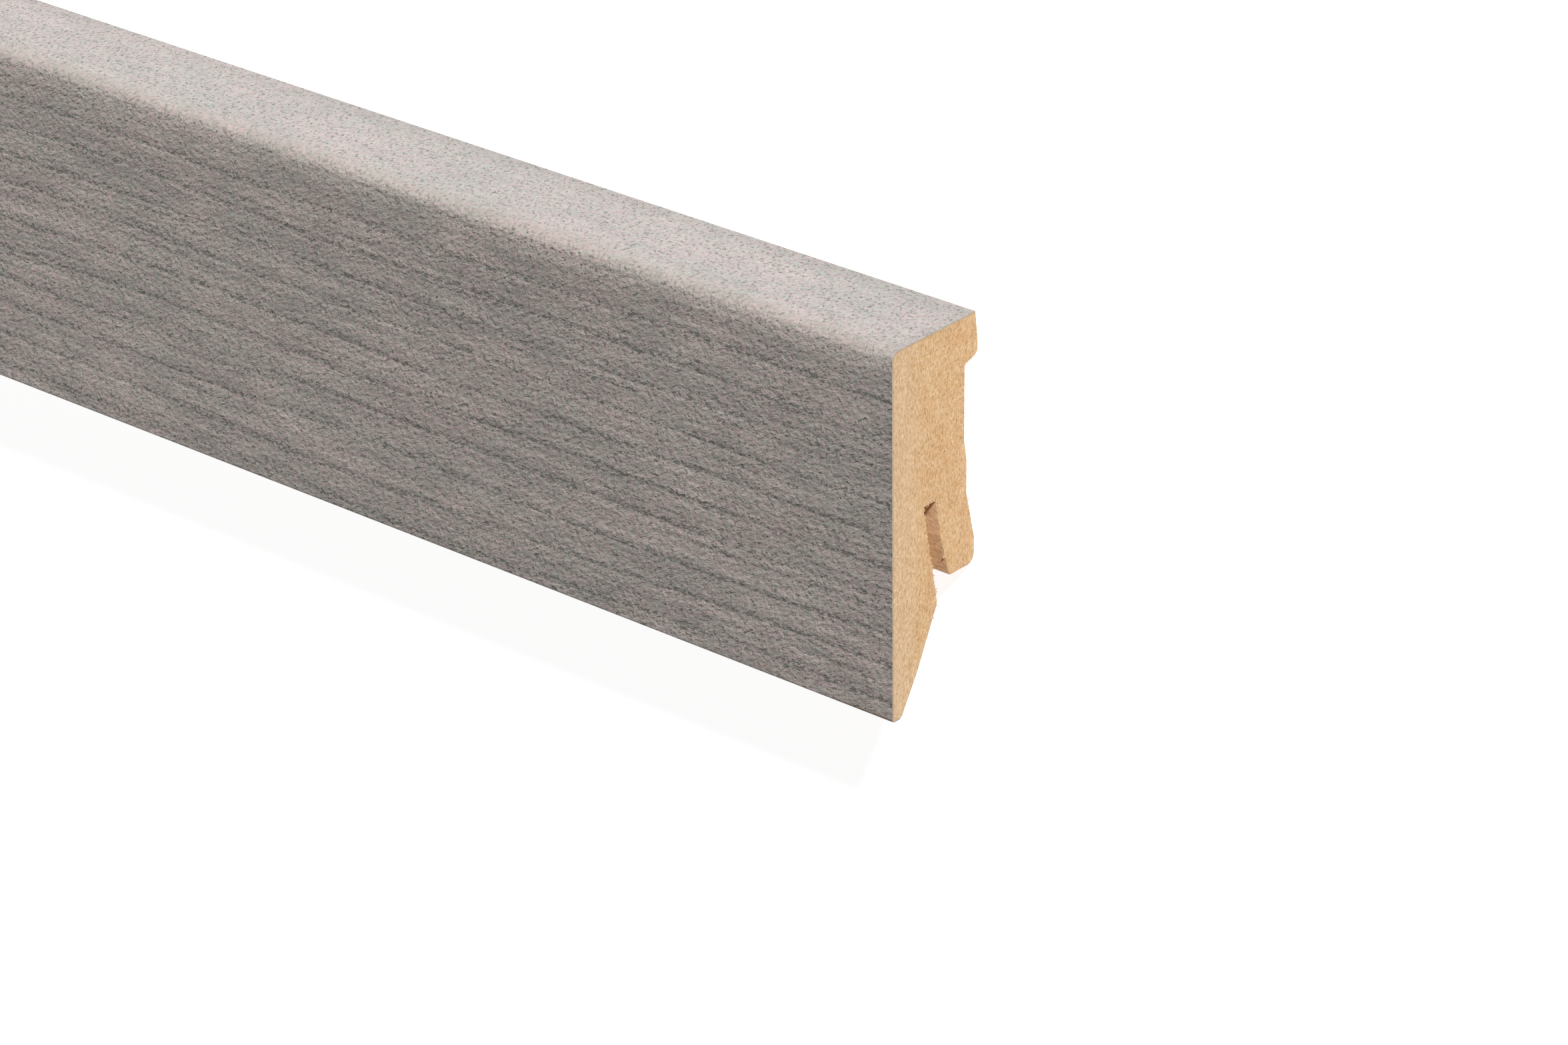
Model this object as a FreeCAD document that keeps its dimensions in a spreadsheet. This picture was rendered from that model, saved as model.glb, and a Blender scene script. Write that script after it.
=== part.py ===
"""Clip-on skirting board length: a milled MDF core with a decor foil wrapped round its front and top.

Units are millimetres. The board lies on its back as it is stored, with the decor face up:
X runs along the length, +Y points to the top edge and +Z out of the decor face.
The origin is under the middle of the board, on the plane that it lies on.

A section point is given as (height, depth): height above the bottom edge, and depth behind
the decor face. In a section sketch, height runs along the sketch's own first axis and the
second axis counts up from the plane that the board lies on, so it is thickness less depth.
"""
import FreeCAD, Part
import os
import re

import Sketcher

# Driving dimensions, in millimetres and degrees.
SIZES = {
    # Overall stock
    "length": 2400,
    "height": 58,
    "thickness": 19,
    # Decor foil, which wraps the face, the top edge and the lower arris
    "foil": 0.25,
    "top_round": 1.5,
    "arris_round": 0.5,
    # Nib along the top of the back: it leans out to its heel and has a slanting underside
    "nib_lean": 0.5,
    "nib_lean_height": 4.6,
    "nib_height": 6.6,
    "nib_slant": 15,
    "nib_round": 1,
    "inner_round": 0.5,
    # Web between the nib and the tongue: how far it stands clear of the wall, with a step near its foot
    "web_relief": 2.9,
    "web_foot_relief": 2.35,
    "step_top": 38.8,
    "step_bottom": 35.3,
    # Tongue behind the clip slot
    "tongue_relief": 0.55,
    "tongue_slope_top": 30.3,
    "tongue_heel": 22.6,
    "tongue_bottom": 18.7,
    "tongue_round": 1.5,
    # Clip slot: a slanted kerf between the lip and the tongue, which flares at its mouth
    "slot_top": 31.7,
    "slot_front_depth": 6.9,
    "slot_width": 2.75,
    "slot_slant": 11,
    "slot_flare_top": 25.5,
    "slot_flare_slant": 16,
    "slot_round": 0.4,
    # Lip in front of the slot, tapered to its tip in two slopes
    "lip_corner": 15.3,
    "lip_round": 1.5,
    "lip_knee_height": 6.1,
    "lip_knee_depth": 5.6,
    "lip_tip": 2.1,
}

SHEET = "sizes"

# How far a cut runs past the stock, in millimetres. It leaves no trace on the part.
OVERRUN = 2

# Two things closer than this, in millimetres, are at the same place.
TOUCH = 0.001

# An edge counts as lengthwise when it spans at least this share of the length.
LENGTHWISE_SHARE = 0.9


def add_sheet(doc):
    """The spreadsheet of driving dimensions, one alias for each row."""
    sheet = doc.addObject("Spreadsheet::Sheet", SHEET)
    for row, (alias, value) in enumerate(SIZES.items(), start=1):
        sheet.set(f"A{row}", alias)
        sheet.set(f"B{row}", str(value))
        sheet.setAlias(f"B{row}", alias)
    doc.recompute()


def sized(text):
    """An expression on the sheet, from words such as height - foil."""
    return re.sub(r"[a-z_]+", lambda word: f"{SHEET}.{word[0]}" if word[0] in SIZES else word[0], text)


def above_floor(depth):
    """The sketch's second coordinate for a depth behind the decor face."""
    return f"thickness - ( {depth} )"


def slope_run(rise, degrees):
    """How far a wall that leans by this many degrees runs sideways over a rise."""
    return f"( {rise} ) * tan( {degrees} * 1 deg )"


def end_plane(body):
    """The body's own plane across the length, on which every section is drawn."""
    for plane in body.Origin.OriginFeatures:
        if plane.Role == "YZ_Plane":
            return plane
    raise RuntimeError("the body has no YZ plane")


def add_section(body, name, corners):
    """A closed section sketch of straight sides. Each corner is (height, depth) in words."""
    sketch = body.newObject("Sketcher::SketchObject", name)
    sketch.AttachmentSupport = (end_plane(body), [""])
    sketch.MapMode = "FlatFace"
    places = [(sized(height), sized(above_floor(depth))) for height, depth in corners]
    points = []
    for across, up in places:
        point = FreeCAD.Vector(sketch.evalExpression(across), sketch.evalExpression(up), 0)
        points.append(point)
    count = len(points)
    for index in range(count):
        following = points[(index + 1) % count]
        sketch.addGeometry(Part.LineSegment(points[index], following), False)
    for index in range(count):
        following = (index + 1) % count
        sketch.addConstraint(Sketcher.Constraint("Coincident", index, 2, following, 1))
    for index, (across, up) in enumerate(places):
        for kind, value, words in (
            ("DistanceX", points[index].x, across),
            ("DistanceY", points[index].y, up),
        ):
            number = sketch.addConstraint(Sketcher.Constraint(kind, -1, 1, index, 1, value))
            sketch.setExpression(f"Constraints[{number}]", words)
    return sketch


def add_pad(body, name, corners):
    """A section pushed out to the full length, half to each side of the middle."""
    pad = body.newObject("PartDesign::Pad", name)
    pad.Profile = add_section(body, name + "_section", corners)
    pad.SideType = "Symmetric"
    pad.setExpression("Length", sized("length"))
    body.Document.recompute()


def add_cut(body, name, corners):
    """A section cut right through the length."""
    before = body.Shape.Volume
    pocket = body.newObject("PartDesign::Pocket", name)
    pocket.Profile = add_section(body, name + "_section", corners)
    pocket.SideType = "Symmetric"
    pocket.Type = "ThroughAll"
    body.Document.recompute()
    if not body.Shape.Volume < before:
        raise RuntimeError(f"{name} takes nothing off the stock")


def long_edge(shape, across, up):
    """The name of the lengthwise edge that lies nearest to a section point."""
    nearest = None
    for number, edge in enumerate(shape.Edges, start=1):
        start = edge.Vertexes[0].Point
        end = edge.Vertexes[-1].Point
        if abs(end.x - start.x) < LENGTHWISE_SHARE * shape.BoundBox.XLength:
            continue
        distance = ((start.y - across) ** 2 + (start.z - up) ** 2) ** 0.5
        if nearest is None or distance < nearest[0]:
            nearest = (distance, f"Edge{number}")
    return nearest[1]


def add_round(body, name, radius, corners):
    """A fillet along the lengthwise edges at the given (height, depth) corners."""
    base = body.Tip
    edges = []
    for height, depth in corners:
        across = base.evalExpression(sized(height))
        up = base.evalExpression(sized(above_floor(depth)))
        edges.append(long_edge(base.Shape, across, up))
    fillet = body.newObject("PartDesign::Fillet", name)
    fillet.Base = (base, edges)
    fillet.setExpression("Radius", sized(radius))
    body.Document.recompute()


def add_body(doc, name):
    """A body whose section sketches start at the bottom edge, half the height below the middle."""
    body = doc.addObject("PartDesign::Body", name)
    body.Label = name
    body.setExpression("Placement.Base.y", sized("-1 * height / 2"))
    return body


def make_core(doc):
    """The MDF core: a plain blank, with the back milled away and the clip slot cut in."""
    body = add_body(doc, "mdf_core")

    face = "foil"
    bottom = "foil"
    top = "height - foil"
    add_pad(body, "blank", [(bottom, face), (top, face), (top, "thickness"), (bottom, "thickness")])

    beyond_back = f"thickness + {OVERRUN}"
    beyond_top = f"height + {OVERRUN}"
    beyond_bottom = f"-{OVERRUN}"

    heel = "height - nib_lean_height"
    top_depth = "thickness - nib_lean"
    add_cut(body, "nib_lean", [
        ("height", top_depth),
        (heel, "thickness"),
        (heel, beyond_back),
        (beyond_top, beyond_back),
        (beyond_top, top_depth),
    ])

    underside = "height - nib_height"
    underside_root = f"{underside} - {slope_run('web_relief', 'nib_slant')}"
    underside_beyond = f"{underside} + {slope_run(OVERRUN, 'nib_slant')}"
    web_depth = "thickness - web_relief"
    web_foot_depth = "thickness - web_foot_relief"
    tongue_depth = "thickness - tongue_relief"
    add_cut(body, "back_relief", [
        (underside_beyond, beyond_back),
        (underside_root, web_depth),
        ("step_top", web_depth),
        ("step_bottom", web_foot_depth),
        ("tongue_slope_top", web_foot_depth),
        ("tongue_heel", tongue_depth),
        (beyond_bottom, tongue_depth),
        (beyond_bottom, beyond_back),
    ])

    slot_rear_depth = "slot_front_depth + slot_width"
    flare_depth = f"{slot_rear_depth} + {slope_run('slot_top - slot_flare_top', 'slot_slant')}"
    mouth_depth = f"{flare_depth} + {slope_run('slot_flare_top - tongue_bottom', 'slot_flare_slant')}"
    lip_depth = f"slot_front_depth + {slope_run('slot_top - lip_corner', 'slot_slant')}"
    add_cut(body, "clip_slot", [
        ("tongue_bottom", beyond_back),
        ("tongue_bottom", mouth_depth),
        ("slot_flare_top", flare_depth),
        ("slot_top", slot_rear_depth),
        ("slot_top", "slot_front_depth"),
        ("lip_corner", lip_depth),
        ("lip_knee_height", "lip_knee_depth"),
        ("foil", "lip_tip"),
        (beyond_bottom, "lip_tip"),
        (beyond_bottom, beyond_back),
    ])

    add_round(body, "top_edge", "top_round - foil", [(top, face)])
    add_round(body, "lower_arris", "arris_round - foil", [(bottom, face)])
    add_round(body, "nib_heel", "nib_round", [(underside, "thickness")])
    add_round(body, "nib_root", "inner_round", [(underside_root, web_depth)])
    add_round(body, "tongue_foot", "tongue_round", [("tongue_bottom", tongue_depth)])
    add_round(body, "slot_end", "slot_round", [
        ("slot_top", "slot_front_depth"),
        ("slot_top", slot_rear_depth),
        ("tongue_bottom", mouth_depth),
    ])
    add_round(body, "lip_back", "lip_round", [("lip_corner", lip_depth)])
    return body


def open_faces(shape, back):
    """The names of the two end faces and of the lengthwise face that lies at the back's level."""
    box = shape.BoundBox
    names = []
    for number, face in enumerate(shape.Faces, start=1):
        centre = face.CenterOfMass
        if min(abs(centre.x - box.XMin), abs(centre.x - box.XMax)) < TOUCH:
            names.append(f"Face{number}")
        elif abs(centre.z - back) < TOUCH:
            names.append(f"Face{number}")
    return names


def make_foil(doc):
    """The decor foil: one thin wrap over the face, round the top edge and under the lip's tip."""
    body = add_body(doc, "decor_foil")
    top_depth = "thickness - nib_lean"
    add_pad(body, "wrap", [("0", "0"), ("height", "0"), ("height", top_depth), ("0", top_depth)])
    add_round(body, "top_edge", "top_round", [("height", "0")])
    add_round(body, "lower_arris", "arris_round", [("0", "0")])

    rounded = body.Tip
    back = rounded.evalExpression(sized(above_floor(top_depth)))
    shell = body.newObject("PartDesign::Thickness", "shell")
    shell.Base = (rounded, open_faces(rounded.Shape, back))
    shell.setExpression("Value", sized("foil"))
    shell.Reversed = True
    doc.recompute()

    beyond_back = f"{top_depth} + {OVERRUN}"
    beyond_bottom = f"-{OVERRUN}"
    above_leg = "foil * 2"
    add_cut(body, "lip_edge", [
        (beyond_bottom, "lip_tip"),
        (above_leg, "lip_tip"),
        (above_leg, beyond_back),
        (beyond_bottom, beyond_back),
    ])
    return body


def check(doc, bodies):
    """Stop where a feature failed, or where a piece isn't one whole, valid solid."""
    for item in doc.Objects:
        if "Invalid" in item.State or "Error" in item.State:
            raise RuntimeError(f"{item.Name} is {item.State}")
    for body in bodies:
        shape = body.Shape
        if shape.isNull() or not shape.isValid() or len(shape.Solids) != 1:
            raise RuntimeError(f"{body.Label} isn't one valid solid")


def main():
    doc = FreeCAD.newDocument("skirting_board")
    add_sheet(doc)
    bodies = [make_core(doc), make_foil(doc)]
    doc.recompute()
    check(doc, bodies)
    os.makedirs("parts", exist_ok=True)
    for body in bodies:
        box = body.Shape.BoundBox
        body.Shape.exportStep(f"parts/{body.Label}.step")
        print(f"{body.Label}: {box.XLength:.2f} x {box.YLength:.2f} x {box.ZLength:.2f} mm, "
              f"{body.Shape.Volume / 1000:.2f} cm3")


main()
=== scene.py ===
"""A length of clip-on skirting board: milled MDF with a grey embossed decor foil round its face and top.

The board lies on its back with the decor face up. X runs along the length, +Y points to the top edge
and +Z out of the decor face. A section point is (height above the bottom edge, depth behind the face).
"""
import math

import bpy
from mathutils import Matrix, Vector


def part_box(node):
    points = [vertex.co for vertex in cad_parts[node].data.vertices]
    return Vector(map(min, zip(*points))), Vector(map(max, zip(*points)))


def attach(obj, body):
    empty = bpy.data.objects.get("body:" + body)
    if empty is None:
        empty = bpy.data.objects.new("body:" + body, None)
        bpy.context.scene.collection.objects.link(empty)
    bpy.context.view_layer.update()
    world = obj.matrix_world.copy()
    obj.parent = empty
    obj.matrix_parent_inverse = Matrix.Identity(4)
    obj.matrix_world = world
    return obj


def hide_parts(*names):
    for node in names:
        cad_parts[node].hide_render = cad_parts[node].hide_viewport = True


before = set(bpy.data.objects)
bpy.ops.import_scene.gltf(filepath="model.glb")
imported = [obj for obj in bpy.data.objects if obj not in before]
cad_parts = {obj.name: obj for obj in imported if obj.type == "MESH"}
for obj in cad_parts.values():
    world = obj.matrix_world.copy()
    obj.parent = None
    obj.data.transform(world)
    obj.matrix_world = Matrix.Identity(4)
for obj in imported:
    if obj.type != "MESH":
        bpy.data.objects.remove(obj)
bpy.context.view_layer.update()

MM = 0.001

# Section sizes in millimetres, the same as in the solids. Slants are in degrees.
HEIGHT = 58
THICKNESS = 19
FOIL = 0.25
TOP_ROUND = 1.5
ARRIS_ROUND = 0.5
NIB_LEAN = 0.5
NIB_LEAN_HEIGHT = 4.6
NIB_HEIGHT = 6.6
NIB_SLANT = 15
NIB_ROUND = 1
INNER_ROUND = 0.5
WEB_RELIEF = 2.9
WEB_FOOT_RELIEF = 2.35
STEP_TOP = 38.8
STEP_BOTTOM = 35.3
TONGUE_RELIEF = 0.55
TONGUE_SLOPE_TOP = 30.3
TONGUE_HEEL = 22.6
TONGUE_BOTTOM = 18.7
TONGUE_ROUND = 1.5
SLOT_TOP = 31.7
SLOT_FRONT_DEPTH = 6.9
SLOT_WIDTH = 2.75
SLOT_SLANT = 11
SLOT_FLARE_TOP = 25.5
SLOT_FLARE_SLANT = 16
SLOT_ROUND = 0.4
LIP_CORNER = 15.3
LIP_ROUND = 1.5
LIP_KNEE_HEIGHT = 6.1
LIP_KNEE_DEPTH = 5.6
LIP_TIP = 2.1

# Finer shaping than in the solids, in millimetres: the lip's eased tip.
LIP_TIP_EASE = 0.3

# The board's long edges, in millimetres along Y.
TOP_EDGE = HEIGHT / 2
FOOT_EDGE = -HEIGHT / 2

# The sweep: metres between stations along the length, and steps in each round.
STATION_SPACING = 0.02
ROUND_STEPS = 10

# The foil's print.
PRINT_WARM = (0.376, 0.326, 0.307, 1)
PRINT_COOL = (0.338, 0.307, 0.285, 1)
PRINT_WARM_TINT = (1.06, 0.98, 1.0, 1)
PRINT_COOL_TINT = (0.94, 1.0, 0.96, 1)
PRINT_TOP_TINT = (0.965, 1.0, 1.03, 1)
# Painted shade in the strata's undercuts.
PRINT_UNDERCUT_SHADE = (0.2, 0.2, 0.175, 1)
PRINT_PIT = (0.11, 0.117, 0.098, 1)
PRINT_DOT = (0.115, 0.115, 0.095, 1)
# Painted shade along the top's back edge, also the darker print near the sawn ends.
PRINT_RIM = (0.1, 0.09, 0.08, 1)
# Painted shade along the lower arris near the sawn ends.
PRINT_ARRIS_SHADE = (0.17, 0.105, 0.06, 1)
PRINT_SLANT = math.radians(-34)
PRINT_SPECULAR = 0.3

# The foil's cut edge.
EDGE_PALE = (0.53, 0.42, 0.31, 1)
EDGE_BROWN = (0.45, 0.35, 0.255, 1)
EDGE_NICK = (0.34, 0.27, 0.21, 1)

# The MDF's sawn end.
SAWN_PALE = (0.715, 0.475, 0.265, 1)
SAWN_BROWN = (0.675, 0.42, 0.213, 1)
SAWN_DENSE = (0.695, 0.485, 0.295, 1)
SAWN_DARK_FIBRE = (0.38, 0.18, 0.06, 1)
SAWN_PALE_FIBRE = (0.94, 0.77, 0.55, 1)
SAWN_SCRATCH = (0.88, 0.72, 0.5, 1)
SAWN_RIM = (0.45, 0.33, 0.23, 1)

# The MDF's milled walls.
MILLED_PALE = (0.84, 0.54, 0.3, 1)
MILLED_BROWN = (0.78, 0.48, 0.25, 1)
MILLED_DARK_FLECK = (0.36, 0.2, 0.09, 1)
MILLED_PALE_FLECK = (0.98, 0.8, 0.6, 1)
MILLED_SLANT = math.radians(40)
# Painted light on the milled walls next to the cut.
MILLED_LIT_EDGE = (1.0, 0.68, 0.41, 1)

# Loose fibres.
FIBRE_PALE = (0.82, 0.6, 0.38, 1)
FIBRE_BROWN = (0.64, 0.42, 0.22, 1)

# Gloss of the bare wood, and of the foil's cut edge and the loose fibres.
WOOD_ROUGHNESS = 0.85
EDGE_ROUGHNESS = 0.8
WOOD_SPECULAR = 0.2

# Depth of the relief in metres.
PRINT_RELIEF = 0.00033
SAWN_RELIEF = 0.00007
MILLED_RELIEF = 0.00004

# The room: even light from all round as a share of full white, and the floor's own colour. The camera
# sees the floor brighter by the lift, which leaves only a faint shadow.
AMBIENT = 0.05
FLOOR_COLOUR = (0.8, 0.8, 0.8, 1)
FLOOR_LIFT = 0.865
FLOOR_REACH = 60
WHITE = (1, 1, 1, 1)

# The photograph's own view, found from the board's edges. The board stands on its bottom edge in it.
CAMERA_PLACE = Vector((1.64727, 0.35591, 0.56646))
CAMERA_RIGHT = Vector((0.763824, -0.009848, -0.645349))
CAMERA_UP = Vector((-0.281450, 0.894726, -0.346772))
CAMERA_LENS = 129.66
CAMERA_SENSOR = 36
CAMERA_NEAREST = 0.05
CAMERA_FURTHEST = 200


# Node helpers

def link(tree, start, end):
    """Wires an output to an input."""
    tree.links.new(start, end)


def fill(tree, node, inputs):
    """Gives a node its inputs, by name or number. Each is a link or a plain value."""
    for key, value in inputs.items():
        if isinstance(value, bpy.types.NodeSocket):
            link(tree, value, node.inputs[key])
        else:
            node.inputs[key].default_value = value


def place(tree, kind, inputs=None, **settings):
    """A new node with its settings and inputs."""
    node = tree.nodes.new(kind)
    for key, value in settings.items():
        setattr(node, key, value)
    fill(tree, node, inputs or {})
    return node


def work(tree, operation, *values):
    """A Math node's result."""
    inputs = dict(enumerate(values))
    return place(tree, "ShaderNodeMath", inputs, operation=operation).outputs[0]


def times(tree, first, second):
    """One value multiplied by another."""
    return work(tree, "MULTIPLY", first, second)


def add_share(tree, value, share, base):
    """A base value with a share of another added."""
    return work(tree, "MULTIPLY_ADD", value, share, base)


def stretch(tree, vector, factors):
    """A vector with each of its axes multiplied."""
    inputs = {0: vector, 1: factors}
    return place(tree, "ShaderNodeVectorMath", inputs, operation="MULTIPLY").outputs[0]


def turned(tree, vector, angle):
    """A vector turned about Z."""
    inputs = {"Vector": vector, "Angle": angle}
    return place(tree, "ShaderNodeVectorRotate", inputs, rotation_type="Z_AXIS").outputs[0]


def split(tree, vector):
    """A vector's X, Y and Z."""
    return place(tree, "ShaderNodeSeparateXYZ", {0: vector}).outputs


def joined(tree, **axes):
    """A vector from any of X, Y and Z."""
    return place(tree, "ShaderNodeCombineXYZ", axes).outputs[0]


def ease(tree, value, low, high, to_low=0.0, to_high=1.0):
    """A smooth step from one level to another."""
    inputs = {"Value": value, "From Min": low, "From Max": high, "To Min": to_low, "To Max": to_high}
    node = place(tree, "ShaderNodeMapRange", inputs, interpolation_type="SMOOTHSTEP")
    return node.outputs["Result"]


def swing(tree, field, span, low, high):
    """Noise turned into a factor that swings between two levels. Span is its reach either side of 0.5."""
    return ease(tree, field, 0.5 - span, 0.5 + span, low, high)


def noise(tree, vector, detail, roughness=0.5, distortion=0.0, scale=1.0):
    """Noise from 0 to 1, about 0.5 in the mean."""
    inputs = {
        "Vector": vector, "Scale": scale, "Detail": detail,
        "Roughness": roughness, "Distortion": distortion,
    }
    return place(tree, "ShaderNodeTexNoise", inputs).outputs[0]


def mix_colours(tree, factor, first, second, blend="MIX"):
    """Two colours mixed by a factor."""
    inputs = {0: factor, 6: first, 7: second}
    node = place(tree, "ShaderNodeMix", inputs, data_type="RGBA", blend_type=blend)
    return node.outputs[2]


def painted(tree, mask, share, ground, colour):
    """A ground with a share of a colour laid over it where a mask is white."""
    return mix_colours(tree, times(tree, mask, share), ground, colour)


def toned(tree, ground, red, green, blue):
    """A ground with its channels multiplied."""
    tone = place(tree, "ShaderNodeCombineColor", {0: red, 1: green, 2: blue}).outputs[0]
    return mix_colours(tree, 1.0, ground, tone, "MULTIPLY")


def add_group(name, kind, inputs, outputs):
    """A node group with named sockets. Returns the tree, its inputs and its output node."""
    tree = bpy.data.node_groups.new(name, kind)
    for label, socket_type, value in inputs:
        socket = tree.interface.new_socket(label, in_out="INPUT", socket_type=socket_type)
        if value is not None:
            socket.default_value = value
    for label, socket_type in outputs:
        tree.interface.new_socket(label, in_out="OUTPUT", socket_type=socket_type)
    start = tree.nodes.new("NodeGroupInput")
    end = tree.nodes.new("NodeGroupOutput")
    return tree, start.outputs, end


def use_group(tree, group, inputs):
    """A shader group placed in a material, with its values."""
    node = tree.nodes.new("ShaderNodeGroup")
    node.node_tree = group
    fill(tree, node, inputs)
    return node.outputs


# Surface effects that several finishes share

def make_speck_group():
    """Small specks where fine noise passes a level. Lift brings it nearer to that level."""
    tree, given, end = add_group("specks", "ShaderNodeTree", [
        ("Vector", "NodeSocketVector", None),
        ("Per Millimetre", "NodeSocketFloat", 2.0),
        ("Level", "NodeSocketFloat", 0.6),
        ("Softness", "NodeSocketFloat", 0.1),
        ("Lift", "NodeSocketFloat", 0.0),
    ], [("Mask", "NodeSocketFloat")])
    field = noise(tree, given["Vector"], detail=1.0, scale=given["Per Millimetre"])
    raised = work(tree, "ADD", field, given["Lift"])
    top = work(tree, "ADD", given["Level"], given["Softness"])
    link(tree, ease(tree, raised, given["Level"], top), end.inputs["Mask"])
    return tree


def make_patch_group():
    """Slow patches of one colour in another."""
    tree, given, end = add_group("patches", "ShaderNodeTree", [
        ("Vector", "NodeSocketVector", None),
        ("Per Millimetre", "NodeSocketFloat", 0.1),
        ("First", "NodeSocketColor", (0.5, 0.5, 0.5, 1)),
        ("Second", "NodeSocketColor", (0.4, 0.4, 0.4, 1)),
    ], [("Color", "NodeSocketColor")])
    field = noise(tree, given["Vector"], detail=3.0, roughness=0.55, scale=given["Per Millimetre"])
    share = swing(tree, field, 0.15, 0.0, 1.0)
    link(tree, mix_colours(tree, share, given["First"], given["Second"]), end.inputs["Color"])
    return tree


def millimetres(tree):
    """The piece's own place, in millimetres."""
    place_in_mesh = place(tree, "ShaderNodeTexCoord").outputs["Object"]
    return stretch(tree, place_in_mesh, (1000, 1000, 1000))


def from_nearest_end(tree, along, half_length):
    """Millimetres in from the nearer sawn end."""
    return work(tree, "SUBTRACT", half_length, work(tree, "ABSOLUTE", along))


def new_material(name):
    """An empty material with its Principled shader wired to the output."""
    material = bpy.data.materials.new(name)
    material.use_nodes = True
    tree = material.node_tree
    tree.nodes.clear()
    shader = tree.nodes.new("ShaderNodeBsdfPrincipled")
    output = tree.nodes.new("ShaderNodeOutputMaterial")
    link(tree, shader.outputs[0], output.inputs["Surface"])
    return material, tree, shader


def matt(shader, roughness):
    """Makes a shader dull, as bare wood is."""
    shader.inputs["Roughness"].default_value = roughness
    shader.inputs["Specular IOR Level"].default_value = WOOD_SPECULAR


def bump(tree, shader, height, depth):
    """Relief of the given depth in metres."""
    node = place(tree, "ShaderNodeBump", {"Height": height, "Distance": depth, "Strength": 1.0})
    link(tree, node.outputs[0], shader.inputs["Normal"])


# Finishes

def make_strata_group():
    """Wavering lines along the length. Each has a dark undercut and a pale lip just below it."""
    tree, given, end = add_group("strata", "ShaderNodeTree", [
        ("Vector", "NodeSocketVector", None),
        ("Spacing", "NodeSocketFloat", 5.4),
        ("Wander", "NodeSocketFloat", 5.0),
        ("Jitter", "NodeSocketFloat", 0.9),
        ("Weakest", "NodeSocketFloat", 0.4),
    ], [("Undercut", "NodeSocketFloat"), ("Lip", "NodeSocketFloat")])
    where = given["Vector"]
    axes = split(tree, where)
    slow = noise(tree, stretch(tree, where, (0.012, 0.07, 0.07)), detail=1.0)
    quick = noise(tree, stretch(tree, where, (0.35, 0.6, 0.6)), detail=2.0)
    wander = work(tree, "SUBTRACT", slow, 0.5)
    jitter = work(tree, "SUBTRACT", quick, 0.5)
    moved = add_share(tree, wander, given["Wander"], axes["Y"])
    moved = add_share(tree, jitter, given["Jitter"], moved)

    # Each row fades in and out along the length in a beat of its own.
    rows = work(tree, "DIVIDE", moved, given["Spacing"])
    row = work(tree, "FLOOR", rows)
    above = work(tree, "SUBTRACT", rows, row)
    beat = joined(tree, X=times(tree, axes["X"], 0.03), Y=times(tree, row, 3.7))
    strength = ease(tree, noise(tree, beat, detail=2.0, roughness=0.6), 0.3, 0.6, given["Weakest"], 1.0)
    dark = times(tree, ease(tree, above, 0.0, 0.24, 1.0, 0.0), strength)
    pale = times(tree, ease(tree, above, 0.7, 0.97), strength)
    link(tree, dark, end.inputs["Undercut"])
    link(tree, pale, end.inputs["Lip"])
    return tree


def strata_on_face(tree, where, on_face):
    """The face's undercuts and lips: strong rows with weaker ones between them."""
    strata = make_strata_group()
    main = use_group(tree, strata, {
        "Vector": where, "Spacing": 5.4, "Wander": 5.0, "Jitter": 0.8, "Weakest": 0.45})
    between = use_group(tree, strata, {
        "Vector": where, "Spacing": 3.1, "Wander": 7.0, "Jitter": 1.1, "Weakest": 0.0})
    both = []
    for part in ("Undercut", "Lip"):
        strongest = work(tree, "MAXIMUM", main[part], times(tree, between[part], 0.5))
        both.append(times(tree, on_face, strongest))
    return both


def print_level(tree, where, axes, on_face, grain, lip):
    """How bright the print is, about 1 in the mean, with a painted highlight under the bend and painted shade
    over it.
    """
    clouds = noise(tree, stretch(tree, where, (0.12, 0.4, 0.4)), detail=3.0, roughness=0.6)
    threads = noise(tree, stretch(tree, where, (0.03, 0.8, 0.8)), detail=2.0)
    cloud_level = swing(tree, clouds, 0.2, 0.9, 1.1)
    thread_level = swing(tree, threads, 0.2, 0.9, 1.1)
    bands = work(tree, "SUBTRACT", times(tree, cloud_level, thread_level), 1.0)
    banding = add_share(tree, on_face, 0.7, 0.3)
    level = times(tree, swing(tree, grain, 0.22, 0.9, 1.1), add_share(tree, bands, banding, 1.0))
    # Painted highlight on the pale lip below each undercut.
    level = add_share(tree, lip, 0.1, level)

    # Painted highlight: the print is paler just under the bend, where the top light glances off the foil, and
    # painted shade makes it a little darker over the bend.
    towards_bend = ease(tree, axes["Y"], TOP_EDGE - 4.8, TOP_EDGE - 1.7)
    before_bend = ease(tree, axes["Y"], TOP_EDGE - 1.5, TOP_EDGE - 0.7, 1.0, 0.0)
    level = add_share(tree, times(tree, towards_bend, before_bend), 0.28, level)
    past_bend = ease(tree, axes["Y"], TOP_EDGE - 0.8, TOP_EDGE - 0.2)
    near_bend = ease(tree, axes["Z"], THICKNESS - 3.4, THICKNESS - 1.4)
    return add_share(tree, times(tree, past_bend, near_bend), -0.06, level)


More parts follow.
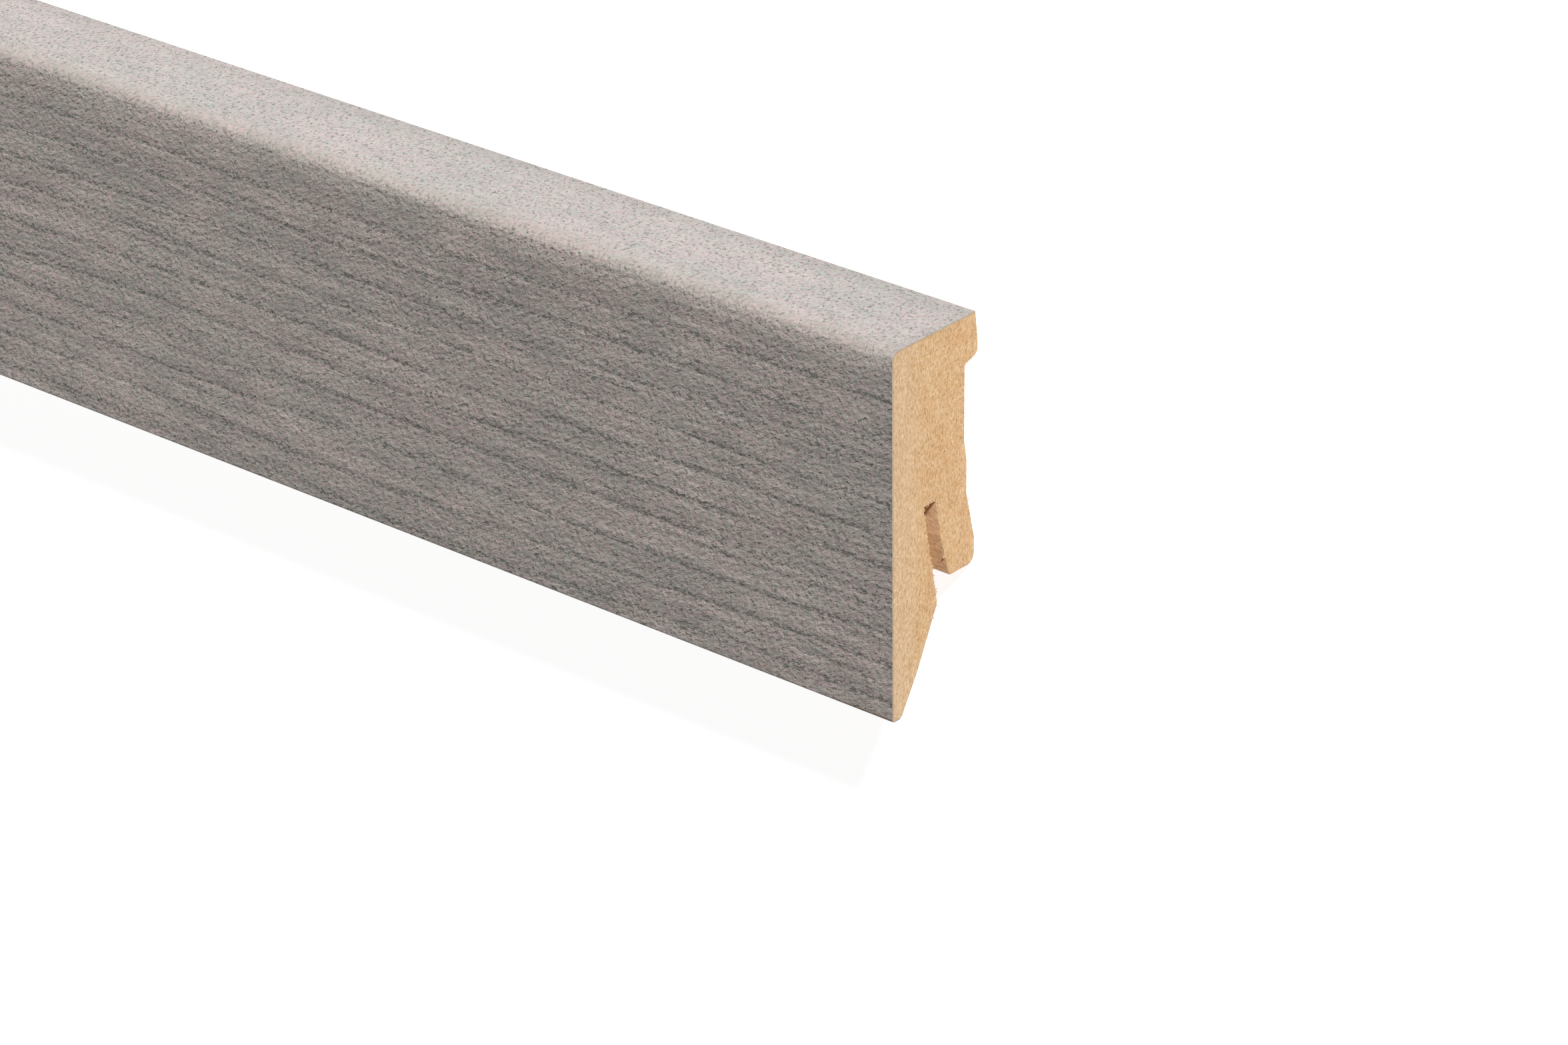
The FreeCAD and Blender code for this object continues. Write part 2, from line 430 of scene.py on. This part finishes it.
def make_decor(specks, patches, half_length):
    """The decor foil: a grey mineral print, embossed with pits and with wavering strata on its face."""
    material, tree, shader = new_material("decor_foil")
    where = millimetres(tree)
    axes = split(tree, where)
    from_end = from_nearest_end(tree, axes["X"], half_length)
    on_face = ease(tree, axes["Y"], TOP_EDGE - 4.5, TOP_EDGE - 0.8, 1.0, 0.0)
    on_top = ease(tree, axes["Z"], THICKNESS - 4.5, THICKNESS - 0.7, 1.0, 0.0)
    undercut, lip = strata_on_face(tree, where, on_face)

    # Grain and pits are drawn out along a slant.
    slanted = turned(tree, where, PRINT_SLANT)
    grain = noise(tree, stretch(tree, slanted, (1.1, 1.8, 1.5)), detail=2.0)
    pits = use_group(tree, specks, {
        "Vector": stretch(tree, slanted, (0.85, 1.4, 1.3)), "Per Millimetre": 1.6,
        "Level": 0.57, "Softness": 0.2, "Lift": times(tree, undercut, 0.17),
    })["Mask"]
    # The dots gather along the undercuts, and come up more over the top edge as painted shade in the pits.
    dots = use_group(tree, specks, {
        "Vector": where, "Per Millimetre": 1.9, "Level": 0.585, "Softness": 0.14,
        "Lift": add_share(tree, on_top, 0.014, times(tree, undercut, 0.04)),
    })["Mask"]

    ground = use_group(tree, patches, {
        "Vector": stretch(tree, where, (0.5, 1.0, 1.0)), "Per Millimetre": 0.12,
        "First": PRINT_WARM, "Second": PRINT_COOL,
    })["Color"]
    cool = swing(tree, noise(tree, where, detail=2.0, roughness=0.6, scale=1.3), 0.12, 0.0, 1.0)
    tint = mix_colours(tree, cool, PRINT_WARM_TINT, PRINT_COOL_TINT)
    tinted = mix_colours(tree, 1.0, ground, tint, "MULTIPLY")
    level = print_level(tree, where, axes, on_face, grain, lip)
    printed = toned(tree, tinted, level, level, level)
    # Painted shade in the strata's undercuts.
    shaded = painted(tree, undercut, 0.24, printed, PRINT_UNDERCUT_SHADE)

    # Over the top edge the pits and dots are darker, painted shade in the pits, and the print is a little
    # cooler.
    pitted = painted(tree, pits, add_share(tree, on_top, 0.12, 0.58), shaded, PRINT_PIT)
    dotted = painted(tree, dots, add_share(tree, on_top, 0.4, 0.54), pitted, PRINT_DOT)
    cooled = mix_colours(tree, on_top, dotted, PRINT_TOP_TINT, "MULTIPLY")

    # The foil has painted shade along the top's back edge and along its lower arris near the sawn ends, and
    # is a little darker within about 2 mm of those ends.
    back_rim = ease(tree, axes["Z"], 1.0, 5.0, 0.15, 0.0)
    cut_rim = ease(tree, from_end, 0.0, 2.2, 0.12, 0.0)
    rimmed = mix_colours(tree, work(tree, "MAXIMUM", back_rim, cut_rim), cooled, PRINT_RIM)
    # Painted shade: a dark brown line along the lower arris, full within 5 mm of the sawn ends and gone by 15
    # mm.
    low = ease(tree, axes["Y"], FOOT_EDGE + 0.38, FOOT_EDGE + 0.75, 1.0, 0.0)
    near = ease(tree, from_end, 5.0, 15.0, 0.85, 0.0)
    arris_shaded = painted(tree, low, near, rimmed, PRINT_ARRIS_SHADE)
    link(tree, arris_shaded, shader.inputs["Base Color"])

    link(tree, ease(tree, pits, 0.0, 1.0, 0.6, 0.78), shader.inputs["Roughness"])
    shader.inputs["Specular IOR Level"].default_value = PRINT_SPECULAR
    relief = add_share(tree, pits, -0.2, grain)
    relief = add_share(tree, undercut, -0.2, relief)
    relief = add_share(tree, lip, 0.14, relief)
    bump(tree, shader, relief, PRINT_RELIEF)
    return material


def make_sawn(specks, patches):
    """The sawn end of the MDF: upright fibres in tan, with a paler, denser band along the face."""
    material, tree, shader = new_material("mdf_sawn_end")
    where = millimetres(tree)
    axes = split(tree, where)
    dense = ease(tree, axes["Z"], THICKNESS - 7.5, THICKNESS - 1.8)
    rim = ease(tree, axes["Z"], THICKNESS - 0.6, THICKNESS - 0.15)

    fibres = noise(tree, stretch(tree, where, (1.0, 1.2, 2.9)), detail=2.0, distortion=0.5)
    mottle = noise(tree, stretch(tree, where, (0.5, 0.4, 0.55)), detail=2.0, roughness=0.55)
    layers = noise(tree, stretch(tree, where, (0.1, 0.06, 0.8)), detail=2.0)
    dark = use_group(tree, specks, {
        "Vector": stretch(tree, where, (1.0, 0.8, 2.0)), "Per Millimetre": 2.0,
        "Level": 0.59, "Softness": 0.12, "Lift": times(tree, dense, -0.04),
    })["Mask"]
    pale = use_group(tree, specks, {
        "Vector": stretch(tree, where, (1.2, 0.75, 2.1)), "Per Millimetre": 2.1,
        "Level": 0.59, "Softness": 0.12,
    })["Mask"]
    scratches = use_group(tree, specks, {
        "Vector": stretch(tree, where, (1.0, 0.16, 5.0)), "Per Millimetre": 1.0,
        "Level": 0.66, "Softness": 0.08,
    })["Mask"]

    ground = use_group(tree, patches, {
        "Vector": where, "Per Millimetre": 0.32, "First": SAWN_PALE, "Second": SAWN_BROWN,
    })["Color"]
    banded = painted(tree, dense, 0.8, ground, SAWN_DENSE)
    level = times(tree, swing(tree, fibres, 0.22, 0.82, 1.18), swing(tree, mottle, 0.2, 0.97, 1.03))
    level = times(tree, level, swing(tree, layers, 0.2, 0.96, 1.04))

    # Pale places are less yellow, and dark ones more.
    red = work(tree, "POWER", level, 0.75)
    blue = work(tree, "POWER", level, 1.35)
    wooden = toned(tree, banded, red, level, blue)
    darker = painted(tree, dark, 0.6, wooden, SAWN_DARK_FIBRE)
    lighter = painted(tree, pale, 0.55, darker, SAWN_PALE_FIBRE)
    scraped = painted(tree, scratches, 0.35, lighter, SAWN_SCRATCH)
    scored = painted(tree, rim, 0.4, scraped, SAWN_RIM)
    link(tree, scored, shader.inputs["Base Color"])
    matt(shader, WOOD_ROUGHNESS)
    relief = work(tree, "ADD", fibres, times(tree, work(tree, "SUBTRACT", pale, dark), 0.4))
    bump(tree, shader, relief, SAWN_RELIEF)
    return material


def make_milled(specks, patches, half_length):
    """The milled back and slot walls: brown MDF with pale fibres and faint tool marks along the length."""
    material, tree, shader = new_material("mdf_milled")
    where = millimetres(tree)
    from_end = from_nearest_end(tree, split(tree, where)["X"], half_length)
    slanted = turned(tree, where, MILLED_SLANT)
    flecks = use_group(tree, specks, {
        "Vector": stretch(tree, slanted, (0.8, 2.4, 2.6)), "Per Millimetre": 1.8,
        "Level": 0.54, "Softness": 0.14,
    })["Mask"]
    dark = use_group(tree, specks, {
        "Vector": stretch(tree, where, (0.8, 1.6, 2.4)), "Per Millimetre": 1.3,
        "Level": 0.56, "Softness": 0.14,
    })["Mask"]
    marks = noise(tree, stretch(tree, where, (0.01, 2.2, 2.2)), detail=1.0)
    fibres = noise(tree, stretch(tree, where, (1.0, 1.6, 2.2)), detail=4.0, roughness=0.72)
    ground = use_group(tree, patches, {
        "Vector": stretch(tree, where, (0.25, 1.0, 1.0)), "Per Millimetre": 0.2,
        "First": MILLED_PALE, "Second": MILLED_BROWN,
    })["Color"]

    # The walls are painted paler next to the cut, most of all at the very corner: painted light where the end
    # light catches the broken arris.
    corner_light = ease(tree, from_end, 0.0, 1.1, 1.0, 0.45)
    cut_light = times(tree, corner_light, ease(tree, from_end, 2.0, 8.0, 1.0, 0.0))
    lit_near_cut = mix_colours(tree, cut_light, ground, MILLED_LIT_EDGE)
    level = swing(tree, fibres, 0.22, 0.86, 1.14)
    wooden = toned(tree, lit_near_cut, level, level, level)
    darker = painted(tree, dark, 0.28, wooden, MILLED_DARK_FLECK)
    lighter = painted(tree, flecks, 0.5, darker, MILLED_PALE_FLECK)
    link(tree, lighter, shader.inputs["Base Color"])
    matt(shader, WOOD_ROUGHNESS)
    relief = add_share(tree, marks, 0.5, fibres)
    relief = add_share(tree, work(tree, "SUBTRACT", flecks, dark), 0.3, relief)
    bump(tree, shader, relief, MILLED_RELIEF)
    return material


def make_foil_edge(specks, patches):
    """The foil's own cut edge at the sawn ends: a soft line between the print and the MDF."""
    material, tree, shader = new_material("decor_foil_edge")
    where = millimetres(tree)
    colour = use_group(tree, patches, {
        "Vector": where, "Per Millimetre": 1.2, "First": EDGE_PALE, "Second": EDGE_BROWN,
    })["Color"]
    nicks = use_group(tree, specks, {
        "Vector": where, "Per Millimetre": 2.5, "Level": 0.6, "Softness": 0.1,
    })["Mask"]
    link(tree, painted(tree, nicks, 0.4, colour, EDGE_NICK), shader.inputs["Base Color"])
    matt(shader, EDGE_ROUGHNESS)
    return material


def make_fibre(patches):
    """Loose wood fibres."""
    material, tree, shader = new_material("mdf_fibre")
    colour = use_group(tree, patches, {
        "Vector": millimetres(tree), "Per Millimetre": 2.0, "First": FIBRE_PALE, "Second": FIBRE_BROWN,
    })["Color"]
    link(tree, colour, shader.inputs["Base Color"])
    matt(shader, EDGE_ROUGHNESS)
    return material


# Section outlines

def run(rise, degrees):
    """How far a leaning wall runs sideways over a rise."""
    return rise * math.tan(math.radians(degrees))


def core_corners():
    """The MDF's section as (height, depth, round, fuzz) corners, from its foot up the face and down the back.

    Fuzz says how thickly torn fibres stand there, from 0 to 1.
    """
    top = HEIGHT - FOIL
    lean_depth = THICKNESS - NIB_LEAN * (top - HEIGHT + NIB_LEAN_HEIGHT) / NIB_LEAN_HEIGHT
    underside = HEIGHT - NIB_HEIGHT
    web = THICKNESS - WEB_RELIEF
    web_foot = THICKNESS - WEB_FOOT_RELIEF
    tongue = THICKNESS - TONGUE_RELIEF
    slot_rear = SLOT_FRONT_DEPTH + SLOT_WIDTH
    flare = slot_rear + run(SLOT_TOP - SLOT_FLARE_TOP, SLOT_SLANT)
    mouth = flare + run(SLOT_FLARE_TOP - TONGUE_BOTTOM, SLOT_FLARE_SLANT)
    lip = SLOT_FRONT_DEPTH + run(SLOT_TOP - LIP_CORNER, SLOT_SLANT)
    return [
        (FOIL, FOIL, ARRIS_ROUND - FOIL, 0),
        (top, FOIL, TOP_ROUND - FOIL, 0),
        (top, lean_depth, 0, 0),
        (HEIGHT - NIB_LEAN_HEIGHT, THICKNESS, 0, 0),
        (underside, THICKNESS, NIB_ROUND, 0),
        (underside - run(WEB_RELIEF, NIB_SLANT), web, INNER_ROUND, 0.2),
        (STEP_TOP, web, 0, 0.2),
        (STEP_BOTTOM, web_foot, 0, 0.2),
        (TONGUE_SLOPE_TOP, web_foot, 0, 0.2),
        (TONGUE_HEEL, tongue, 0, 0),
        (TONGUE_BOTTOM, tongue, TONGUE_ROUND, 0),
        (TONGUE_BOTTOM, mouth, SLOT_ROUND, 0.15),
        (SLOT_FLARE_TOP, flare, 0, 0.15),
        (SLOT_TOP, slot_rear, SLOT_ROUND, 0.1),
        (SLOT_TOP, SLOT_FRONT_DEPTH, SLOT_ROUND, 0.6),
        (LIP_CORNER, lip, LIP_ROUND, 0.3),
        (LIP_KNEE_HEIGHT, LIP_KNEE_DEPTH, 0, 0.1),
        (FOIL, LIP_TIP, LIP_TIP_EASE, 0),
    ]


def foil_corners():
    """The foil's section: round the face and the top, and back along its inner side."""
    back = THICKNESS - NIB_LEAN
    leg = LIP_TIP - LIP_TIP_EASE
    inner_top = HEIGHT - FOIL
    return [
        (0, leg, 0, 0),
        (0, 0, ARRIS_ROUND, 0),
        (HEIGHT, 0, TOP_ROUND, 0),
        (HEIGHT, back, 0, 0),
        (inner_top, back, 0, 0),
        (inner_top, FOIL, TOP_ROUND - FOIL, 0),
        (FOIL, FOIL, ARRIS_ROUND - FOIL, 0),
        (FOIL, leg, 0, 0),
    ]


def section_point(corner):
    """A corner's place across the board, in millimetres along Y and Z."""
    return Vector((corner[0] - HEIGHT / 2, THICKNESS - corner[1]))


def rounded(corners):
    """The outline in metres as (y, z, fuzz) points, with an arc at each corner that has a round."""
    points = []
    for index, corner in enumerate(corners):
        radius, fuzz = corner[2:]
        here = section_point(corner)
        if radius == 0:
            points.append((here.x * MM, here.y * MM, fuzz))
            continue
        back = (section_point(corners[index - 1]) - here).normalized()
        onward = (section_point(corners[(index + 1) % len(corners)]) - here).normalized()
        half = back.angle(onward) / 2
        centre = here + (back + onward).normalized() * (radius / math.sin(half))
        start = here + back * (radius / math.tan(half)) - centre
        finish = here + onward * (radius / math.tan(half)) - centre
        sweep = start.angle_signed(finish)
        for step in range(ROUND_STEPS + 1):
            arm = start.copy()
            arm.rotate(Matrix.Rotation(-sweep * step / ROUND_STEPS, 2))
            points.append(((centre + arm).x * MM, (centre + arm).y * MM, fuzz))
    return points


def add_object(name, data):
    """A new object in the scene."""
    item = bpy.data.objects.new(name, data)
    bpy.context.scene.collection.objects.link(item)
    return item


def outline_object(name, corners):
    """A closed loop of edges across the board at x = 0. Fuzz is kept on its points."""
    points = rounded(corners)
    count = len(points)
    edges = [(index, (index + 1) % count) for index in range(count)]
    mesh = bpy.data.meshes.new(name)
    mesh.from_pydata([(0, y, z) for y, z, fuzz in points], edges, [])
    fuzz = mesh.attributes.new("fuzz", "FLOAT", "POINT")
    fuzz.data.foreach_set("value", [point[2] for point in points])
    return add_object(name, mesh)


# Geometry node trees

def profile_of(tree, outline):
    """The outline as a flat section. A sweep turns its X and Y to the board's -Y and -Z."""
    loop = place(tree, "GeometryNodeMeshToCurve", {"Mesh": outline}).outputs[0]
    axes = split(tree, place(tree, "GeometryNodeInputPosition").outputs[0])
    flat = joined(tree, X=times(tree, axes["Y"], -1.0), Y=times(tree, axes["Z"], -1.0))
    return place(tree, "GeometryNodeSetPosition", {"Geometry": loop, "Position": flat}).outputs[0]


def axis_between(tree, start, finish, count):
    """Stations along X from one place to another."""
    ends = {"Start": joined(tree, X=start), "End": joined(tree, X=finish)}
    line = place(tree, "GeometryNodeCurvePrimitiveLine", ends).outputs[0]
    return place(tree, "GeometryNodeResampleCurve", {"Curve": line, "Count": count}).outputs[0]


def swept(tree, axis, outline, closed):
    """The outline carried along an axis. The sweep leaves its faces pointing inwards, so they are turned."""
    inside_out = place(tree, "GeometryNodeCurveToMesh", {
        "Curve": axis, "Profile Curve": profile_of(tree, outline), "Fill Caps": closed}).outputs[0]
    return place(tree, "GeometryNodeFlipFaces", {"Mesh": inside_out}).outputs[0]


def compare(tree, operation, first, second):
    """Where one value is more or less than another."""
    inputs = {0: first, 1: second}
    return place(tree, "FunctionNodeCompare", inputs, data_type="FLOAT", operation=operation).outputs[0]


def sweep_tree():
    """Carries a section outline from end to end, and closes both ends."""
    tree, given, end = add_group("board_sweep", "GeometryNodeTree", [
        ("Outline", "NodeSocketGeometry", None),
        ("Length", "NodeSocketFloat", 2.4),
        ("Spacing", "NodeSocketFloat", 0.02),
        ("Widest Round Strip", "NodeSocketFloat", 0.0005),
        ("Side Finish", "NodeSocketMaterial", None),
        ("End Finish", "NodeSocketMaterial", None),
    ], [("Geometry", "NodeSocketGeometry")])
    half = times(tree, given["Length"], 0.5)
    steps = work(tree, "ROUND", work(tree, "DIVIDE", given["Length"], given["Spacing"]))
    axis = axis_between(tree, times(tree, half, -1.0), half, work(tree, "ADD", steps, 1.0))
    board = swept(tree, axis, given["Outline"], True)

    facing = split(tree, place(tree, "GeometryNodeInputNormal").outputs[0])["X"]
    is_end = compare(tree, "GREATER_THAN", work(tree, "ABSOLUTE", facing), 0.9)
    realized = place(tree, "GeometryNodeRealizeInstances", {"Geometry": board}).outputs[0]

    # Only the narrow strips of the rounds are shaded smooth. The flats keep their own normals.
    strip_area = times(tree, given["Spacing"], given["Widest Round Strip"])
    area = place(tree, "GeometryNodeInputMeshFaceArea").outputs[0]
    is_round = compare(tree, "LESS_THAN", area, strip_area)
    shaded = place(tree, "GeometryNodeSetShadeSmooth", {0: realized, 2: is_round}).outputs[0]
    sides = place(tree, "GeometryNodeSetMaterial", {
        "Geometry": shaded, "Material": given["Side Finish"]}).outputs[0]
    ends = place(tree, "GeometryNodeSetMaterial", {
        "Geometry": sides, "Selection": is_end, "Material": given["End Finish"]}).outputs[0]
    link(tree, ends, end.inputs[0])
    return tree


def fibre_shape(tree, width):
    """One bent, tapering fibre, a unit long, that stands up along Z."""
    spine = place(tree, "GeometryNodeCurveQuadraticBezier", {
        "Resolution": 2, "Start": (0, 0, 0), "Middle": (0.05, 0, 0.5), "End": (0.4, 0, 0.9)}).outputs[0]
    along = place(tree, "GeometryNodeSplineParameter").outputs["Factor"]
    taper = ease(tree, along, 0.0, 1.0, 1.0, 0.35)
    tapered = place(tree, "GeometryNodeSetCurveRadius", {"Curve": spine, "Radius": taper}).outputs[0]
    ring = place(tree, "GeometryNodeCurvePrimitiveCircle", {
        "Resolution": 3, "Radius": times(tree, width, 0.5)}).outputs[0]
    return place(tree, "GeometryNodeCurveToMesh", {
        "Curve": tapered, "Profile Curve": ring, "Fill Caps": True}).outputs[0]


def fibre_roots(tree, given, half):
    """Points on the walls close to both sawn ends, thicker where the outline's fuzz is high."""
    stations = 8
    inner = work(tree, "SUBTRACT", half, given["Fringe"])
    right = axis_between(tree, inner, half, stations)
    left = axis_between(tree, times(tree, half, -1.0), times(tree, inner, -1.0), stations)
    both = tree.nodes.new("GeometryNodeJoinGeometry")
    link(tree, left, both.inputs[0])
    link(tree, right, both.inputs[0])
    walls = swept(tree, both.outputs[0], given["Outline"], False)

    fuzz = place(tree, "GeometryNodeInputNamedAttribute", {"Name": "fuzz"}, data_type="FLOAT").outputs[0]
    spot = split(tree, place(tree, "GeometryNodeInputPosition").outputs[0])
    depth = work(tree, "SUBTRACT", half, work(tree, "ABSOLUTE", spot["X"]))
    depth = work(tree, "DIVIDE", depth, given["Fringe"])
    fade = work(tree, "POWER", work(tree, "SUBTRACT", 1.0, depth), 1.5)
    share = times(tree, times(tree, fuzz, fuzz), fade)
    return place(tree, "GeometryNodeDistributePointsOnFaces", {
        "Mesh": walls, "Density": times(tree, share, given["Density"]), "Seed": given["Seed"]}).outputs


def fibre_tree():
    """Torn fibres on the milled walls, close to both sawn ends."""
    tree, given, end = add_group("torn_fibres", "GeometryNodeTree", [
        ("Outline", "NodeSocketGeometry", None),
        ("Length", "NodeSocketFloat", 2.4),
        ("Fringe", "NodeSocketFloat", 0.003),
        ("Density", "NodeSocketFloat", 1e7),
        ("Fibre Length", "NodeSocketFloat", 0.0006),
        ("Fibre Width", "NodeSocketFloat", 0.08),
        ("Lean", "NodeSocketFloat", 0.9),
        ("Seed", "NodeSocketInt", 1),
        ("Finish", "NodeSocketMaterial", None),
    ], [("Geometry", "NodeSocketGeometry")])
    half = times(tree, given["Length"], 0.5)
    roots = fibre_roots(tree, given, half)

    # Each fibre leans at random and is turned at random about its own length.
    lean = joined(tree, X=given["Lean"], Y=given["Lean"], Z=math.pi)
    away = stretch(tree, lean, (-1, -1, -1))
    tilt = place(tree, "FunctionNodeRandomValue", {0: away, 1: lean, "Seed": given["Seed"]},
                 data_type="FLOAT_VECTOR").outputs[0]
    turn = place(tree, "FunctionNodeEulerToRotation", {0: tilt}).outputs[0]
    stance = place(tree, "FunctionNodeRotateRotation", {0: roots["Rotation"], 1: turn},
                   rotation_space="LOCAL").outputs[0]
    size = place(tree, "FunctionNodeRandomValue", {
        2: times(tree, given["Fibre Length"], 0.4), 3: given["Fibre Length"],
        "Seed": work(tree, "ADD", given["Seed"], 1.0)}, data_type="FLOAT").outputs[1]
    standing = place(tree, "GeometryNodeInstanceOnPoints", {
        "Points": roots["Points"], "Instance": fibre_shape(tree, given["Fibre Width"]),
        "Rotation": stance, "Scale": size}).outputs[0]
    realized = place(tree, "GeometryNodeRealizeInstances", {"Geometry": standing}).outputs[0]

    # The saw cuts the fibres off flush with the ends.
    here = split(tree, place(tree, "GeometryNodeInputPosition").outputs[0])
    capped = work(tree, "MINIMUM", here["X"], half)
    flush = work(tree, "MAXIMUM", capped, times(tree, half, -1.0))
    trimmed = joined(tree, X=flush, Y=here["Y"], Z=here["Z"])
    cut = place(tree, "GeometryNodeSetPosition", {"Geometry": realized, "Position": trimmed}).outputs[0]
    finished = place(tree, "GeometryNodeSetMaterial", {
        "Geometry": cut, "Material": given["Finish"]}).outputs[0]
    link(tree, finished, end.inputs[0])
    return tree


def grown(name, source, tree, values):
    """The plain mesh that a node tree makes of a source object, as a new piece."""
    modifier = source.modifiers.new(name, "NODES")
    modifier.node_group = tree
    for item in tree.interface.items_tree:
        if item.in_out == "INPUT" and item.name in values:
            modifier[item.identifier] = values[item.name]
    bpy.context.view_layer.update()
    evaluated = source.evaluated_get(bpy.context.evaluated_depsgraph_get())
    mesh = bpy.data.meshes.new_from_object(evaluated)
    mesh.name = name
    while mesh.materials[0] is None:
        mesh.materials.pop(index=0)
    source.modifiers.remove(modifier)
    return add_object(name, mesh)


# Pieces

core_low, core_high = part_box("mdf_core")
board_length = core_high.x - core_low.x
half_length = board_length / 2 / MM

speck_group = make_speck_group()
patch_group = make_patch_group()
decor = make_decor(speck_group, patch_group, half_length)
foil_edge = make_foil_edge(speck_group, patch_group)
sawn = make_sawn(speck_group, patch_group)
milled = make_milled(speck_group, patch_group, half_length)
fibre = make_fibre(patch_group)
sweep = sweep_tree()
fringe = fibre_tree()

core_outline = outline_object("core_outline", core_corners())
core = grown("mdf_board", core_outline, sweep, {
    "Length": board_length, "Spacing": STATION_SPACING, "Side Finish": milled, "End Finish": sawn})
torn = grown("mdf_fibres", core_outline, fringe, {
    "Length": board_length, "Fringe": 0.003, "Density": 1.1e7, "Fibre Length": 0.00045,
    "Fibre Width": 0.2, "Lean": 1.3, "Seed": 7, "Finish": fibre})
splinters = grown("mdf_splinters", core_outline, fringe, {
    "Length": board_length, "Fringe": 0.0006, "Density": 5e7, "Fibre Length": 0.00042,
    "Fibre Width": 0.5, "Lean": 0.6, "Seed": 3, "Finish": fibre})

foil_outline = outline_object("foil_outline", foil_corners())
foil = grown("decor_wrap", foil_outline, sweep, {
    "Length": board_length, "Spacing": STATION_SPACING, "Side Finish": decor, "End Finish": foil_edge})

for helper in (core_outline, foil_outline):
    bpy.data.objects.remove(helper)

for piece, node, slot in ((core, "mdf_core", "mdf"), (foil, "decor_foil", "decor")):
    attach(piece, "root")
    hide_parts(node)
for piece in (torn, splinters):
    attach(piece, "root")


# Floor, light and camera

def rays_seen(tree):
    """1 for what the camera, mirrors and glass see, and 0 for light that falls on the board."""
    rays = place(tree, "ShaderNodeLightPath").outputs
    seen = work(tree, "MAXIMUM", rays["Is Camera Ray"], rays["Is Glossy Ray"])
    return work(tree, "MAXIMUM", seen, rays["Is Transmission Ray"])


def make_floor():
    """A pale floor that keeps the board's shadow. Its lift makes the background white."""
    reach = FLOOR_REACH
    corners = [(-reach, -reach, 0), (reach, -reach, 0), (reach, reach, 0), (-reach, reach, 0)]
    mesh = bpy.data.meshes.new("floor")
    mesh.from_pydata(corners, [], [(0, 1, 2, 3)])
    floor = add_object("floor", mesh)
    material = bpy.data.materials.new("pale_floor")
    material.use_nodes = True
    tree = material.node_tree
    tree.nodes.clear()
    plain = place(tree, "ShaderNodeBsdfDiffuse", {"Color": FLOOR_COLOUR})
    lift = place(tree, "ShaderNodeEmission", {"Strength": times(tree, rays_seen(tree), FLOOR_LIFT)})
    both = place(tree, "ShaderNodeAddShader", {0: plain.outputs[0], 1: lift.outputs[0]})
    output = tree.nodes.new("ShaderNodeOutputMaterial")
    link(tree, both.outputs[0], output.inputs["Surface"])
    mesh.materials.append(material)


def make_world():
    """Even light from all round, which the camera sees as white."""
    world = bpy.data.worlds.new("soft_room")
    bpy.context.scene.world = world
    world.use_nodes = True
    tree = world.node_tree
    tree.nodes.clear()
    strength = add_share(tree, rays_seen(tree), 1.0 - AMBIENT, AMBIENT)
    background = place(tree, "ShaderNodeBackground", {"Color": WHITE, "Strength": strength})
    output = tree.nodes.new("ShaderNodeOutputWorld")
    link(tree, background.outputs[0], output.inputs["Surface"])


def faced(item, direction):
    """Turns a lamp so that its back points in a direction, and it shines the other way."""
    item.rotation_mode = "QUATERNION"
    item.rotation_quaternion = direction.to_track_quat("Z", "Y")


def make_lamp(name, towards, strength, spread):
    """A broad, distant lamp that stands in the given direction from the board. Spread is in degrees."""
    data = bpy.data.lights.new(name, "SUN")
    data.energy = strength
    data.angle = math.radians(spread)
    faced(add_object(name, data), Vector(towards))


def make_panel(name, spot, aim, side, watts):
    """A square soft panel that faces a point of the board, both in metres."""
    data = bpy.data.lights.new(name, "AREA")
    data.shape = "SQUARE"
    data.size = side
    data.energy = watts
    panel = add_object(name, data)
    panel.location = spot
    faced(panel, Vector(spot) - Vector(aim))


def make_camera():
    """The photograph's camera."""
    data = bpy.data.cameras.new("camera")
    data.lens = CAMERA_LENS
    data.sensor_width = CAMERA_SENSOR
    data.clip_start = CAMERA_NEAREST
    data.clip_end = CAMERA_FURTHEST
    camera = add_object("camera", data)
    right = CAMERA_RIGHT.normalized()
    back = right.cross(CAMERA_UP).normalized()
    up = back.cross(right)
    turn = Matrix((right, up, back)).transposed().to_4x4()
    camera.matrix_world = Matrix.Translation(CAMERA_PLACE) @ turn
    bpy.context.scene.camera = camera


make_floor()
make_world()
make_lamp("top_light", towards=(0.05, 1.0, 0.05), strength=2.28, spread=24)
make_lamp("end_light", towards=(1.0, 1.4, 0.85), strength=3.9, spread=8)
make_panel("far_panel", spot=(0.5, 0.0, 1.0), aim=(0.9, 0.0, 0.0), side=0.6, watts=1.2)
make_camera()

bpy.context.scene.view_settings.view_transform = "Standard"
